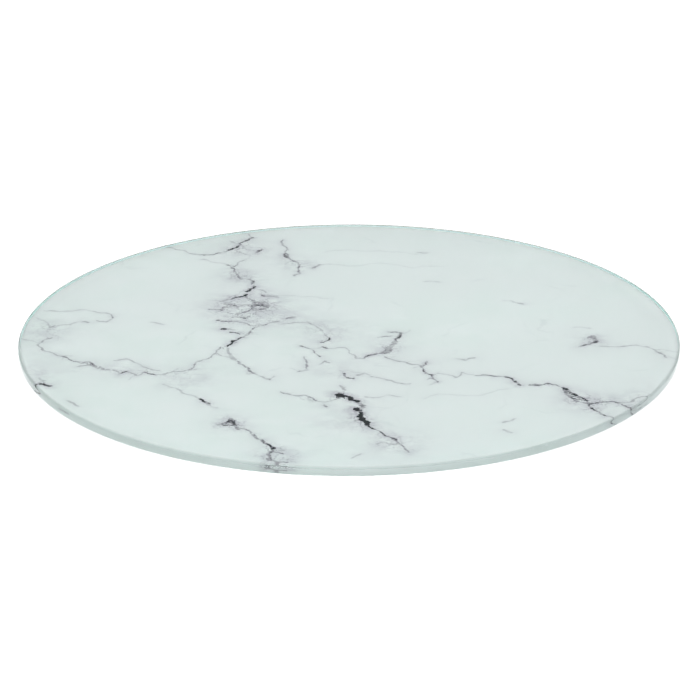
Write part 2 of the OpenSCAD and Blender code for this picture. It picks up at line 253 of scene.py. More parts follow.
# Each crack: the strength of its ink, its width and the points that it runs through, in millimetres
# from the middle of the plate. Ink over 1 stays solid where the grain would break it.
CRACKS = [
    (0.45, 0.8, (-88, 120), (-82, 116), (-71, 109)),
    (0.95, 1.1, (-71, 109), (-68, 109), (-62, 112)),
    (0.55, 0.7, (-62, 112), (-58, 116)),
    (1.00, 1.5, (-58, 116), (-54, 120), (-53, 126), (-50, 129), (-47, 133)),
    (0.40, 0.7, (-47, 134), (-49, 139), (-53, 141)),
    (0.30, 0.8, (-71, 103), (-66, 99), (-61, 98), (-58, 95)),
    (0.60, 0.9, (-58, 95), (-56, 92), (-53, 99), (-50, 102)),
    (0.65, 1.0, (-56, 91), (-54, 85), (-53, 82), (-51, 76), (-48, 76), (-46, 71)),
    (0.85, 0.9, (-46, 69), (-45, 73)),
    (1.00, 1.4, (-48, 59), (-46, 63), (-44, 66)),
    (0.40, 0.6, (-46, 63), (-41, 61), (-39, 58)),
    (0.65, 0.9, (-60, 46), (-55, 49)),
    (1.00, 1.3, (-55, 49), (-51, 52), (-48, 55)),
    (0.95, 1.2, (-41, 55), (-40, 53)),
    (0.75, 0.9, (-40, 53), (-34, 53)),
    (0.16, 0.6, (-34, 53), (-22, 52), (-10, 50)),
    (0.55, 1.0, (-48, 53), (-44, 45)),
    (0.75, 1.8, (-44, 45), (-45, 38), (-41, 43), (-39, 39)),
    (0.60, 1.4, (-44, 45), (-39, 46), (-37, 40), (-43, 35)),
    (0.65, 0.9, (-58, 43), (-51, 40), (-46, 42)),
    (0.60, 0.9, (-65, 36), (-59, 35), (-58, 39), (-54, 40)),
    (0.70, 1.0, (-52, 30), (-46, 35), (-44, 39)),
    (0.60, 0.8, (-54, 26), (-50, 26)),
    (0.95, 1.3, (-50, 26), (-48, 25)),
    (0.80, 1.0, (-61, 22), (-57, 21)),
    (0.60, 0.8, (-57, 21), (-48, 19), (-44, 15), (-40, 16)),
    (1.00, 1.7, (-58, 11), (-57, 11)),
    (0.60, 0.7, (-58, 11), (-52, 10)),
    (0.90, 0.8, (-54, 7), (-50, 5)),
    (1.20, 1.0, (-55, -10), (-48, 1)),
    (0.60, 0.8, (-48, 1), (-45, 9), (-40, 15), (-34, 20), (-32, 21)),
    (0.40, 0.8, (-31, 17), (-25, 19), (-19, 20), (-16, 16), (-13, 11), (-11, 5), (-9, 0)),
    (0.85, 0.9, (-9, 0), (-10, -4), (-13, -6)),
    (0.65, 1.0, (-29, 24), (-25, 26)),
    (0.65, 1.0, (-32, 130), (-30, 119), (-31, 113), (-29, 105)),
    (0.85, 1.3, (-31, 110), (-29, 104)),
    (0.60, 1.0, (-29, 105), (-24, 96), (-24, 88), (-23, 83), (-26, 80)),
    (0.60, 1.3, (-17, 91), (-14, 95)),
    (0.14, 0.7, (-14, 95), (-9, 96), (8, 95)),
    (0.70, 1.3, (-45, 112), (-42, 116)),
    (0.45, 0.9, (-53, 113), (-50, 110)),
    (0.25, 0.9, (-149, 0), (-141, -6)),
    (0.60, 0.9, (-141, -8), (-139, -3), (-135, 1)),
    (0.45, 0.8, (-141, -8), (-136, -16), (-133, -18)),
    (0.85, 0.9, (-133, -18), (-128, -22), (-124, -27)),
    (0.65, 0.8, (-124, -27), (-120, -30), (-116, -28), (-113, -34), (-109, -36)),
    (0.55, 0.8, (-121, -34), (-117, -32), (-113, -35), (-107, -38)),
    (0.45, 0.8, (-105, -38), (-102, -43)),
    (0.85, 1.1, (-102, -43), (-99, -40)),
    (0.50, 0.8, (-99, -40), (-94, -45), (-91, -41)),
    (0.85, 1.2, (-91, -40), (-86, -44)),
    (0.50, 0.8, (-86, -44), (-82, -44), (-78, -40)),
    (0.60, 0.8, (-78, -40), (-72, -39), (-69, -32), (-65, -26), (-61, -20), (-58, -11)),
    (0.40, 0.8, (-105, -27), (-100, -25), (-93, -32), (-84, -39)),
    (0.85, 1.3, (-138, -55), (-136, -54), (-133, -56), (-131, -57)),
    (0.35, 1.0, (-137, -47), (-134, -51)),
    (0.40, 1.0, (-123, -73), (-120, -76), (-117, -80)),
    (0.35, 0.8, (-141, 35), (-135, 34), (-125, 36), (-118, 34), (-111, 31)),
    (0.85, 0.9, (-110, 30), (-109, 26)),
    (0.45, 0.8, (-109, 25), (-112, 20), (-116, 22)),
    (0.35, 0.8, (-144, 26), (-140, 22), (-137, 15)),
    (0.60, 1.0, (-137, 14), (-135, 16)),
    (0.30, 0.8, (-135, 16), (-123, 21)),
    (0.60, 0.9, (-123, 21), (-120, 20)),
    (0.35, 1.0, (-91, 20), (-85, 17)),
    (0.35, 0.8, (-82, -55), (-75, -61), (-70, -67), (-65, -72)),
    (1.00, 1.8, (-65, -72), (-63, -75)),
    (1.00, 1.5, (-63, -75), (-61, -77)),
    (0.40, 0.7, (-62, -77), (-57, -82)),
    (0.80, 1.5, (-56, -101), (-52, -98), (-51, -94), (-49, -101), (-47, -106)),
    (0.80, 1.0, (-54, -101), (-49, -101)),
    (0.55, 0.8, (-47, -105), (-44, -106), (-41, -112), (-37, -117)),
    (0.80, 1.2, (-41, -111), (-40, -113)),
    (1.00, 1.8, (-37, -117), (-34, -122)),
    (1.30, 1.9, (-34, -122), (-32, -126)),
    (0.80, 1.6, (-32, -126), (-34, -132), (-34, -138)),
    (0.60, 1.1, (-34, -138), (-30, -141), (-26, -141)),
    (0.65, 1.1, (-34, -129), (-28, -132)),
    (0.50, 1.0, (-30, -141), (-29, -148)),
    (0.65, 0.8, (-30, -64), (-26, -67), (-23, -69), (-19, -68), (-16, -71), (-13, -75)),
    (0.50, 0.8, (-13, -75), (-10, -76), (-6, -73), (-3, -70)),
    (0.80, 1.2, (-11, -79), (-10, -81)),
    (0.40, 0.7, (-60, -18), (-57, -22), (-50, -28)),
    (0.65, 1.0, (-50, -28), (-46, -35), (-42, -43)),
    (0.40, 0.8, (-42, -43), (-36, -50), (-33, -46)),
    (0.75, 1.2, (-36, -49), (-35, -50)),
    (0.50, 1.1, (-55, -12), (-53, -20), (-51, -26)),
    (0.65, 0.8, (-22, -10), (-17, -14), (-13, -23)),
    (0.60, 0.9, (-20, -23), (-19, -33), (-18, -39), (-23, -41)),
    (0.60, 0.9, (-13, -32), (-11, -28), (-9, -30)),
    (0.70, 0.9, (-12, -11), (-10, -13)),
    (0.45, 0.7, (-10, -13), (-2, -12), (0, -18), (3, -25), (7, -25)),
    (0.90, 1.3, (7, -24), (10, -21), (16, -19)),
    (0.60, 2.6, (16, -18), (19, -11), (21, -5)),
    (0.75, 1.2, (21, -5), (23, 1), (24, 6), (18, 7)),
    (0.50, 0.8, (13, 0), (22, 1)),
    (0.50, 0.8, (16, -23), (21, -28), (27, -32), (32, -34)),
    (0.25, 0.8, (-4, -40), (0, -40), (9, -45)),
    (0.75, 0.9, (-2, -43), (-1, -48), (2, -49)),
    (0.60, 1.0, (4, -45), (6, -44)),
    (0.45, 0.8, (10, -47), (16, -50), (21, -54), (27, -55)),
    (1.90, 3.3, (-4, -68), (-2, -69)),
    (1.50, 1.8, (-2, -69), (1, -72)),
    (1.60, 2.7, (1, -73), (4, -75)),
    (0.60, 1.8, (4, -77), (6, -80), (5, -84)),
    (1.60, 2.6, (3, -84), (4, -85)),
    (1.00, 1.4, (4, -85), (5, -89)),
    (1.90, 2.4, (5, -90), (6, -96)),
    (1.90, 1.9, (6, -96), (8, -101)),
    (1.40, 1.2, (8, -101), (11, -106)),
    (1.00, 0.8, (11, -106), (14, -110), (16, -114), (20, -117)),
    (0.60, 0.8, (18, -117), (20, -119), (23, -125), (25, -131)),
    (0.60, 0.9, (12, -122), (14, -120), (17, -122), (21, -122)),
    (0.50, 1.4, (-4, -57), (-2, -62)),
    (0.30, 0.8, (7, -70), (13, -71), (18, -68), (22, -70)),
    (0.55, 0.7, (1, -137), (3, -134), (5, -132)),
    (0.95, 1.0, (32, -34), (33, -39), (37, -45)),
    (0.70, 0.8, (35, -29), (32, -36)),
    (0.80, 1.1, (37, -45), (39, -53)),
    (0.45, 0.7, (39, -43), (47, -48), (50, -42), (55, -45)),
    (0.75, 0.8, (56, -46), (60, -45), (64, -47), (70, -48)),
    (0.80, 1.0, (70, -48), (73, -53)),
    (0.95, 1.4, (73, -53), (75, -57)),
    (0.90, 1.0, (79, -57), (84, -57), (87, -55)),
    (0.80, 0.9, (87, -55), (91, -57), (94, -60)),
    (0.85, 1.5, (94, -60), (96, -71), (99, -76)),
    (0.70, 1.0, (99, -76), (103, -79)),
    (0.90, 1.2, (94, -60), (100, -70), (104, -78)),
    (0.85, 1.1, (104, -78), (108, -88), (110, -92)),
    (0.70, 0.9, (110, -92), (116, -95)),
    (0.95, 1.0, (103, -78), (109, -77), (114, -76), (117, -78)),
    (0.45, 0.8, (117, -78), (122, -77), (127, -71)),
    (0.90, 1.1, (127, -71), (132, -69)),
    (0.75, 0.9, (117, -78), (120, -82), (123, -85)),
    (0.80, 1.3, (104, -12), (109, -9), (112, -6)),
    (0.70, 1.8, (112, -6), (111, 1), (108, -1)),
    (0.45, 0.8, (113, -11), (122, -12), (130, -10), (134, -12), (138, -18)),
    (0.55, 0.9, (138, -18), (142, -25)),
    (0.22, 0.7, (138, -16), (149, -19)),
    (0.50, 1.0, (48, -26), (52, -28), (56, -25)),
    (0.30, 0.8, (103, 12), (110, 11)),
    (0.35, 1.0, (66, -99), (71, -95)),
    (0.30, 1.2, (66, -107), (69, -110)),
    (0.14, 0.8, (33, -72), (53, -69), (70, -61)),
    (0.12, 0.7, (-12, 112), (12, 114), (33, 109)),
    (0.40, 0.9, (33, 112), (38, 111)),
    (0.25, 0.8, (36, 72), (43, 71)),
    (0.25, 0.8, (72, 47), (79, 43)),
    (0.60, 0.9, (79, 43), (81, 42)),
    (0.12, 0.7, (8, 95), (30, 90), (46, 92)),
]
seed_from = 200
swell_every = 4
chance = np.random.default_rng(11)


def jagged(points, chance, sway=0.16, finest=0.9):
    """A crack's points with its corners broken at ever smaller scale."""
    points = [np.array(p, float) for p in points]
    while max(np.linalg.norm(b - a) for a, b in zip(points, points[1:])) > finest:
        finer = [points[0]]
        for a, b in zip(points, points[1:]):
            along = b - a
            if np.linalg.norm(along) > finest:
                side = np.array((-along[1], along[0]))
                finer.append((a + b) / 2 + side * chance.uniform(-sway, sway))
            finer.append(b)
        points = finer
    return np.array(points)


def side_cracks(cracks, chance_per_mm, longest):
    """Short faint cracks that leave the given ones at an angle."""
    extra = []
    for ink, width, *points in cracks:
        if ink < 0.5:
            continue
        for a, b in zip(points, points[1:]):
            along = np.subtract(b, a).astype(float)
            for _ in range(chance.poisson(np.linalg.norm(along) * chance_per_mm)):
                start = np.array(a) + along * chance.uniform(0, 1)
                turn = math.atan2(along[1], along[0]) + chance.choice((-1, 1)) * chance.uniform(0.3, 1.3)
                reach = chance.uniform(0.25, 1.0) * longest
                tip = start + reach * np.array((math.cos(turn), math.sin(turn)))
                extra.append((ink * chance.uniform(0.3, 0.6), width * 0.7, tuple(start), tuple(tip)))
    return extra


def nearest_crack(places, cracks, farthest=14.0):
    """For each place: the way to the nearest crack, the crack's width and its ink, in millimetres."""
    found = np.tile((farthest, 0.0, 1.0, 0.0), (len(places), 1))
    best = np.full(len(places), farthest)
    for ink, width, *points in cracks:
        own_chance = np.random.default_rng([int(seed_from + n) for n in points[0]])
        line = jagged(points, own_chance)
        knots = np.arange(0, len(line) + swell_every, swell_every)
        swell = np.interp(np.arange(len(line) - 1), knots, own_chance.uniform(0.6, 1.35, len(knots)))
        near = np.flatnonzero(((places > line.min(0) - farthest) & (places < line.max(0) + farthest)).all(1))
        along = np.diff(line, axis=0)
        to = places[near][:, None] - line[None, :-1]
        share = ((to * along).sum(2) / (along ** 2).sum(1)).clip(0, 1)
        way = share[..., None] * along - to
        away = np.sqrt((way ** 2).sum(2)) - 0.5 * width * swell
        pick = away.argmin(1)
        rows = np.arange(len(near))
        closer = away[rows, pick] < best[near]
        rows, pick, near = rows[closer], pick[closer], near[closer]
        best[near] = away[rows, pick]
        found[near, :2] = way[rows, pick]
        found[near, 2] = width * swell[pick]
        found[near, 3] = ink * np.sqrt(swell[pick]).clip(0.7, 1.1)
    return found


low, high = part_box("marble_print")
print_radius = high.x / MM
print_sides, print_rings = 560, 150
pressed_in = 0.02
turns = np.arange(print_sides) * 2 * math.pi / print_sides
radii = print_radius * (np.arange(1, print_rings + 1) / print_rings)
disc = np.stack((np.outer(radii, np.cos(turns)), np.outer(radii, np.sin(turns))), 2).reshape(-1, 2)
flat = np.vstack(([[0, 0]], disc))
top_z, bottom_z = high.z / MM + pressed_in, low.z / MM
last_ring = flat[-print_sides:]
verts = np.vstack((np.column_stack((flat, np.full(len(flat), top_z))),
                   np.column_stack((last_ring, np.full(print_sides, bottom_z))), [[0, 0, bottom_z]]))
side = np.arange(print_sides)
after = (side + 1) % print_sides
faces = [(0, 1 + a, 1 + b) for a, b in zip(side, after)]
for ring in range(print_rings - 1):
    inner, outer = 1 + ring * print_sides, 1 + (ring + 1) * print_sides
    faces += [(inner + a, outer + a, outer + b, inner + b) for a, b in zip(side, after)]
rim, under, centre = len(flat) - print_sides, len(flat), len(verts) - 1
printed_faces = len(faces)
faces += [(rim + a, under + a, under + b, rim + b) for a, b in zip(side, after)]
faces += [(centre, under + b, under + a) for a, b in zip(side, after)]
mesh = bpy.data.meshes.new("marble_film")
mesh.from_pydata((verts * MM).tolist(), [], [tuple(int(i) for i in f) for f in faces])
mesh.polygons.foreach_set("material_index", [0] * printed_faces + [1] * (len(faces) - printed_faces))

branches = side_cracks(CRACKS, 0.10, 7.0)
main = nearest_crack(flat, CRACKS)
fine = nearest_crack(flat, branches)
distance = np.hypot(main[:, 0], main[:, 1])

# Each haze: its strength, how far it reaches and its middle, in millimetres.
HAZES = [(1.2, 19, (-46, 38)), (0.8, 10, (-52, 80)), (0.7, 12, (-50, 115)), (0.6, 14, (-70, -48)),
         (0.8, 12, (-30, -135)), (0.7, 9, (-51, -99)), (0.45, 14, (-4, -97)), (0.7, 9, (18, -12)),
         (0.8, 12, (102, -76)), (0.6, 14, (-138, 10)), (0.5, 14, (-140, -40)), (0.6, 16, (-10, 10)),
         (0.5, 16, (20, -122)), (0.5, 10, (110, -5)), (0.6, 10, (-25, 95)), (0.4, 12, (-100, -38)),
         (0.5, 12, (-5, -40)), (0.4, 15, (128, -72))]
haze = 0.45 * np.exp(-(distance / 5.0) ** 2) * main[:, 3]
for strength, reach, middle in HAZES:
    haze = haze + strength * np.exp(-((flat - np.array(middle)) ** 2).sum(1) / reach ** 2)


def carried(name, kind, values, rest):
    """Values per vertex on the printed face, and rest elsewhere."""
    whole = np.full((len(verts), values.shape[1]), rest, np.float32)
    whole[:len(flat)] = values
    attribute = mesh.attributes.new(name, kind, "POINT")
    attribute.data.foreach_set("vector" if kind == "FLOAT_VECTOR" else "value", whole.ravel())


for name, found in (("crack", main), ("branch", fine)):
    carried(name, "FLOAT_VECTOR", found[:, :3], 9.0)
    carried(name + "_ink", "FLOAT", found[:, 3:], 0.0)
    carried(name + "_away", "FLOAT", np.hypot(found[:, 0], found[:, 1])[:, None], 9.0)
carried("haze", "FLOAT", haze[:, None], 0.0)

ink = Finish("marble_ink", Roughness=0.55, IOR=1.5, Specular_IOR_Level=0.2)
wander = ink.noise(ink.place, 700.0, 2.0, 0.6)
speckle = ink.noise(ink.place, 2200.0, 2.0)
breaks = ink.noise(ink.place, 240.0, 3.0, 0.65)
beads = ink.noise(ink.place, 1100.0, 1.0)


def carried_ink(name, weakest):
    """How much ink a family of cracks has here, as a core and as the bleeding round it."""
    vector = ink.add("ShaderNodeAttribute", {"attribute_name": name}, out="Vector")
    x, y, width = ink.parts(vector)
    strength = ink.add("ShaderNodeAttribute", {"attribute_name": name + "_ink"}, out="Fac")
    reach = ink.add("ShaderNodeAttribute", {"attribute_name": name + "_away"}, out="Fac")
    away = ((x * x + y * y) ** 0.5).most(reach - 0.9)
    half = width * wander.ease(0.3, 0.72, 0.18, 0.62) - 0.16 + (speckle - 0.5) * 0.2
    core = 1.0 - ((away - half) / (width * 0.16 + 0.38)).ease(0.0, 1.0)
    bleed = (1.0 - (away / (width * 2.2 + 1.0)).ease(0.0, 1.0)) * beads.ease(0.35, 0.7, 0.25, 1.0)
    strength = strength * breaks.ease(0.34, 0.60, weakest, 1.0)
    return core * strength, bleed * strength


core, bleed = carried_ink("crack", 0.5)
faint, faint_bleed = carried_ink("branch", 0.1)
mist = ink.add("ShaderNodeAttribute", {"attribute_name": "haze"}, out="Fac")
cloudy = ink.noise(ink.place, 45.0, 4.0, 0.55)
streaks = ink.noise(ink.place, 110.0, 5.0, 0.65)
sway = ink.add("ShaderNodeTexNoise", {}, {"Vector": ink.place, "Scale": 60.0, "Detail": 5.0}, "Color")
bent = ink.add("ShaderNodeVectorMath", {"operation": "MULTIPLY_ADD"},
               {0: sway, 1: (0.022, 0.022, 0.0), 2: ink.place})
web_edge = ink.add("ShaderNodeTexVoronoi", {"feature": "DISTANCE_TO_EDGE"},
                   {"Vector": bent, "Scale": 30.0}, "Distance")
hairs = (1.0 - web_edge.ease(0.0, 0.03)) * ink.noise(ink.place, 38.0, 3.0, 0.6).ease(0.50, 0.70)
fine_edge = ink.add("ShaderNodeTexVoronoi", {"feature": "DISTANCE_TO_EDGE"},
                    {"Vector": bent, "Scale": 150.0}, "Distance")
crackle = (1.0 - fine_edge.ease(0.0, 0.13)) * mist.ease(0.2, 1.1) * beads.ease(0.42, 0.62)
patches = ink.noise(ink.place, 11.0, 2.0, 0.5)
paper = ink.mixed(cloudy.ease(0.35, 0.68), (0.895, 0.905, 0.895), (0.935, 0.928, 0.928))
paper = ink.mixed(patches.ease(0.42, 0.62) * 0.7, paper, (0.905, 0.895, 0.897))
paper = ink.mixed(hairs * 0.16, paper, (0.52, 0.52, 0.56))
paper = ink.mixed((mist * streaks.ease(0.32, 0.66) * 0.95).least(0.75), paper, (0.70, 0.67, 0.71))
paper = ink.mixed(crackle * 0.75, paper, (0.36, 0.32, 0.37))
paper = ink.mixed((bleed * 0.42).least(0.5), paper, (0.46, 0.40, 0.47))
paper = ink.mixed(faint_bleed * 0.25, paper, (0.50, 0.45, 0.52))
paper = ink.mixed(faint * 0.85, paper, (0.22, 0.19, 0.23))
lilac = ink.mixed((core * 1.2).least(1.0), paper, (0.28, 0.245, 0.285))
colour = ink.mixed((core * 1.7 - 0.80).ease(0.0, 0.85), lilac, (0.016, 0.016, 0.020))
colour = ink.mixed(speckle.ease(0.55, 0.75) * 0.04, colour, (0.55, 0.57, 0.58))
ink.set(Base_Color=colour)

lacquer = Finish("backing_lacquer", Roughness=0.5, Coat_Weight=0.15, Coat_Roughness=0.3)
orange_peel = lacquer.noise(lacquer.place, 420.0, 2.0)
rolled = lacquer.noise(lacquer.place, 35.0, 3.0)
lacquer.set(Base_Color=lacquer.mixed(rolled.ease(0.3, 0.7), (0.74, 0.75, 0.75), (0.80, 0.81, 0.80)),
            Roughness=0.42 + 0.2 * rolled)
lacquer.bumpy(orange_peel, 0.00012, 0.6)
marble_film = made("marble_film", mesh, ink, lacquer)
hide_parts("marble_print")
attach(marble_film, "plate")


# ---- glass plate ----
# Toughened clear float glass, 4 mm thick, with a rounded edge that was ground and then polished.
# Its rim follows one rule all the way round, so Geometry Nodes sweep it.
def grown(name, tree, values, finish):
    """The plain mesh that a Geometry Nodes tree makes from these values for its inputs."""
    carrier = bpy.data.objects.new(name, bpy.data.meshes.new(name))
    bpy.context.scene.collection.objects.link(carrier)
    modifier = carrier.modifiers.new("grow", "NODES")
    modifier.node_group = tree
    for item in tree.interface.items_tree:
        if item.item_type == "SOCKET" and item.in_out == "INPUT" and item.name in values:
            modifier[item.identifier] = values[item.name]
    bpy.context.view_layer.update()
    mesh = bpy.data.meshes.new_from_object(carrier.evaluated_get(bpy.context.evaluated_depsgraph_get()))
    bpy.data.objects.remove(carrier)
    mesh.name = name
    mesh.materials.clear()
    return made(name, mesh, finish)


def recipe(name, **inputs):
    """A Geometry Nodes tree with these named inputs: the tree, its graph and its input wires."""
    tree = bpy.data.node_groups.new(name, "GeometryNodeTree")
    kinds = {float: "NodeSocketFloat", int: "NodeSocketInt", "material": "NodeSocketMaterial",
             "vector": "NodeSocketVector"}
    for label, kind in inputs.items():
        tree.interface.new_socket(label.replace("_", " "), in_out="INPUT", socket_type=kinds[kind])
    tree.interface.new_socket("Mesh", in_out="OUTPUT", socket_type="NodeSocketGeometry")
    graph = Graph(tree)
    source = tree.nodes.new("NodeGroupInput")
    wires = {label: Wire(graph, source.outputs[label.replace("_", " ")]) for label in inputs}
    return tree, graph, wires


def closed(graph, mesh, material, gap=2e-6):
    """The end of each tree: doubles merged, instances real, finish set."""
    real = graph.add("GeometryNodeRealizeInstances", {}, {0: mesh})
    whole = graph.add("GeometryNodeMergeByDistance", {}, {0: real, "Distance": gap})
    done = graph.add("GeometryNodeSetMaterial", {}, {0: whole, "Material": material})
    end = graph.tree.nodes.new("NodeGroupOutput")
    graph.tree.links.new(done.socket, end.inputs[0])


tree, g, size = recipe("glass_sweep", Radius=float, Thickness=float, Rounding=float, Bottom=float,
                       Sides=int, Steps=int, Finish="material")
strip = g.add("GeometryNodeMeshGrid", {}, {"Size X": 1.0, "Size Y": 1.0, "Vertices X": size["Sides"] + 1,
                                           "Vertices Y": size["Steps"]})
u, v, _ = g.parts(g.add("GeometryNodeInputPosition"))
turn = (u + 0.5) * (2 * math.pi)
lean = v * math.pi
reach = size["Radius"] - size["Rounding"] + size["Rounding"] * lean.maths("COSINE")
rise = (size["Bottom"] + size["Thickness"] * 0.5 + size["Rounding"] * lean.maths("SINE")
        + (size["Thickness"] * 0.5 - size["Rounding"]) * v.maths("SIGN"))
place = g.add("ShaderNodeCombineXYZ", {}, {0: reach * turn.maths("COSINE"), 1: reach * turn.maths("SINE"),
                                           2: rise})
edge = g.add("GeometryNodeSetPosition", {}, {0: strip, "Position": place})
edge = g.add("GeometryNodeSetShadeSmooth", {}, {0: edge})
flats = []
for lift, flip in ((size["Bottom"] + size["Thickness"], False), (size["Bottom"], True)):
    face = g.add("GeometryNodeMeshCircle", {"fill_type": "TRIANGLE_FAN"},
                 {"Vertices": size["Sides"], "Radius": size["Radius"] - size["Rounding"]})
    face = g.add("GeometryNodeTransform", {}, {0: face, "Translation": g.add(
        "ShaderNodeCombineXYZ", {}, {0: 0.0, 1: 0.0, 2: lift})})
    face = g.add("GeometryNodeSetShadeSmooth", {}, {0: face, "Shade Smooth": False})
    flats.append(g.add("GeometryNodeFlipFaces", {}, {0: face}) if flip else face)
whole = tree.nodes.new("GeometryNodeJoinGeometry")
for piece in (edge, *flats):
    tree.links.new(piece.socket, whole.inputs[0])
closed(g, Wire(g, whole.outputs[0]), size["Finish"])

low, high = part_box("glass_plate")
rounding = 1.0 * MM
glass = Finish("float_glass", Transmission_Weight=1.0, IOR=1.52)
x, y, z = glass.parts(glass.place)
from_axis = (x * x + y * y) ** 0.5
ground = from_axis.ease(high.x - rounding - 0.05 * MM, high.x - rounding + 0.45 * MM)
glass.set(Base_Color=glass.mixed(ground, (1.0, 1.0, 1.0), (0.92, 1.0, 0.98)), Roughness=0.06 * ground)
along_rim = y.maths("ARCTAN2", x) * high.x
wheel = glass.noise(glass.add("ShaderNodeCombineXYZ", {}, {0: along_rim * 0.15, 1: 0.0, 2: z}), 3500.0, 2.0)
glass.bumpy(wheel * ground, 0.00001, 0.5)
murk = glass.add("ShaderNodeVolumeAbsorption", {}, {"Color": (0.0, 0.76, 0.68, 1), "Density": 9.0})
glass.tree.links.new(murk.socket, glass.end.inputs["Volume"])
glass_piece = grown("glass_disc", tree, {
    "Radius": high.x, "Thickness": high.z - low.z, "Rounding": rounding, "Bottom": low.z,
    "Sides": 720, "Steps": 26, "Finish": glass.material}, glass)
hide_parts("glass_plate")
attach(glass_piece, "plate")


# ---- bonding tape ----
# Two rings die-cut from white closed-cell foam tape with adhesive on both faces.
# They hold the printed glass to the carrier and take up what isn't flat between the two.
def finish_node(node, finish):
    """Gives a CAD node this finish."""
    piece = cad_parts[node]
    if not piece.material_slots:
        piece.data.materials.append(finish.material)
    for place in piece.material_slots:
        place.material = finish.material


foam = Finish("closed_cell_foam", Roughness=0.85, IOR=1.45)
cells = foam.add("ShaderNodeTexVoronoi", {"feature": "F1"}, {"Vector": foam.place, "Scale": 1900.0},
                 "Distance")
density = foam.noise(foam.place, 160.0, 3.0)
foam.set(Base_Color=foam.mixed(density.ease(0.3, 0.7), (0.60, 0.60, 0.575), (0.68, 0.68, 0.66)),
         Roughness=0.75 + 0.2 * density)
foam.bumpy(cells, 0.00025, 0.8)
for ring in ("outer_bond_ring", "inner_bond_ring"):
    finish_node(ring, foam)


# ---- carrier and base shell ----
# Both are injection moulded in white ABS, with a fine spark-eroded texture and round ejector marks
# on the faces that were against the moving half of the mould.
def moulded(name, marks_at, marks, seed):
    """White ABS with this many ejector marks on a circle of radius marks_at."""
    plastic = Finish(name, IOR=1.53)
    x, y, z = plastic.parts(plastic.place)
    step = 2 * math.pi / marks
    angle = y.maths("ARCTAN2", x)
    angle = angle - (angle / step).maths("ROUND") * step
    radius = (x * x + y * y) ** 0.5
    off_x, off_y = radius * angle.maths("COSINE") - marks_at, radius * angle.maths("SINE")
    mark = 1.0 - ((off_x * off_x + off_y * off_y) ** 0.5).ease(2.35 * MM, 2.6 * MM)
    eroded = plastic.noise(plastic.place, 2600.0, 2.0, 0.6)
    flow = plastic.add("ShaderNodeTexNoise", {"noise_dimensions": "4D"},
                       {"Vector": plastic.place, "W": seed, "Scale": 22.0, "Detail": 4.0})
    rubbed = plastic.noise(plastic.place, 330.0, 4.0, 0.7)
    plastic.set(Base_Color=plastic.mixed(flow.ease(0.3, 0.7), (0.735, 0.745, 0.735), (0.785, 0.79, 0.78)),
                Roughness=(0.40 + 0.14 * eroded + 0.10 * rubbed) - 0.10 * mark)
    plastic.bumpy(eroded * 0.25 - mark, 0.00009, 0.7)
    return plastic


finish_node("top_carrier", moulded("carrier_abs", 44 * MM, 6, 2.0))
finish_node("base_shell", moulded("shell_abs", 40 * MM, 6, 7.0))


# ---- ball races ----
# Each is a flat ring pressed from steel sheet and zinc plated, with three ears and a rolled track.
# The track is packed with a thin light grease, which the balls spread.
low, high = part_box("ball_1")
track_at = (low.x + high.x) / 2
for node, seed in (("upper_race", 3.0), ("lower_race", 8.0)):
    steel = Finish(node + "_zinc", Metallic=1.0)
    x, y, z = steel.parts(steel.place)
    radius = (x * x + y * y) ** 0.5
    on_track = 1.0 - abs(radius - track_at).ease(1.4 * MM, 2.2 * MM)
    smear = steel.add("ShaderNodeTexNoise", {"noise_dimensions": "4D"},
                      {"Vector": steel.place, "W": seed, "Scale": 190.0, "Detail": 4.0})
    greased = 1.0 - (abs(radius - track_at) + (smear - 0.5) * (6.0 * MM)).ease(3.0 * MM, 4.0 * MM)
    spangle = steel.add("ShaderNodeTexVoronoi", {"feature": "F1"},
                        {"Vector": steel.place, "Scale": 850.0}, "Color")
    drawn = steel.noise(steel.add("ShaderNodeVectorMath", {"operation": "MULTIPLY"},
                                  {0: steel.place, 1: (9000.0, 260.0, 800.0)}), 1.0, 2.0)
    shade = steel.parts(spangle)[0]
    zinc = steel.mixed(shade, (0.58, 0.60, 0.63), (0.68, 0.70, 0.72))
    steel.set(Base_Color=steel.mixed(greased * 0.45, zinc, (0.62, 0.55, 0.40)),
              Roughness=(0.26 + 0.16 * drawn + 0.06 * shade) - 0.14 * on_track,
              Coat_Weight=greased * 0.8, Coat_Roughness=0.18)
    steel.bumpy(drawn * 0.4 + shade * 0.3 + smear * greased * 1.5, 0.00004, 0.5)
    finish_node(node, steel)


# ---- race screws ----
# Zinc-plated pan-head screws with a cross recess and a rolled thread, three to each race.
# A turned profile whose radius rises and falls along a helix gives the thread.
def turned(graph, rows, sides, swell=None):
    """A body turned about the z axis through rows of radius and height, lowest first."""
    strip = graph.add("GeometryNodeMeshGrid", {}, {"Size X": 1.0, "Size Y": 1.0,
                                                   "Vertices X": sides + 1, "Vertices Y": len(rows)})
    u, v, _ = graph.parts(graph.add("GeometryNodeInputPosition"))
    turn = (u + 0.5) * (2 * math.pi)
    row = ((v + 0.5) * (len(rows) - 1)).maths("ROUND")
    reach, rise = (graph.chosen(row, values) for values in zip(*rows))
    if swell:
        reach = reach + swell(turn, rise, reach)
    place = graph.add("ShaderNodeCombineXYZ", {}, {0: reach * turn.maths("COSINE"),
                                                   1: reach * turn.maths("SINE"), 2: rise})
    return graph.add("GeometryNodeSetPosition", {}, {0: strip, "Position": place})


def arc(middle_r, middle_z, radius, start, end, steps):
    """Rows along an arc, its ends in degrees."""
    angles = [math.radians(start + (end - start) * i / steps) for i in range(steps + 1)]
    return [(middle_r + radius * math.cos(a), middle_z + radius * math.sin(a)) for a in angles]


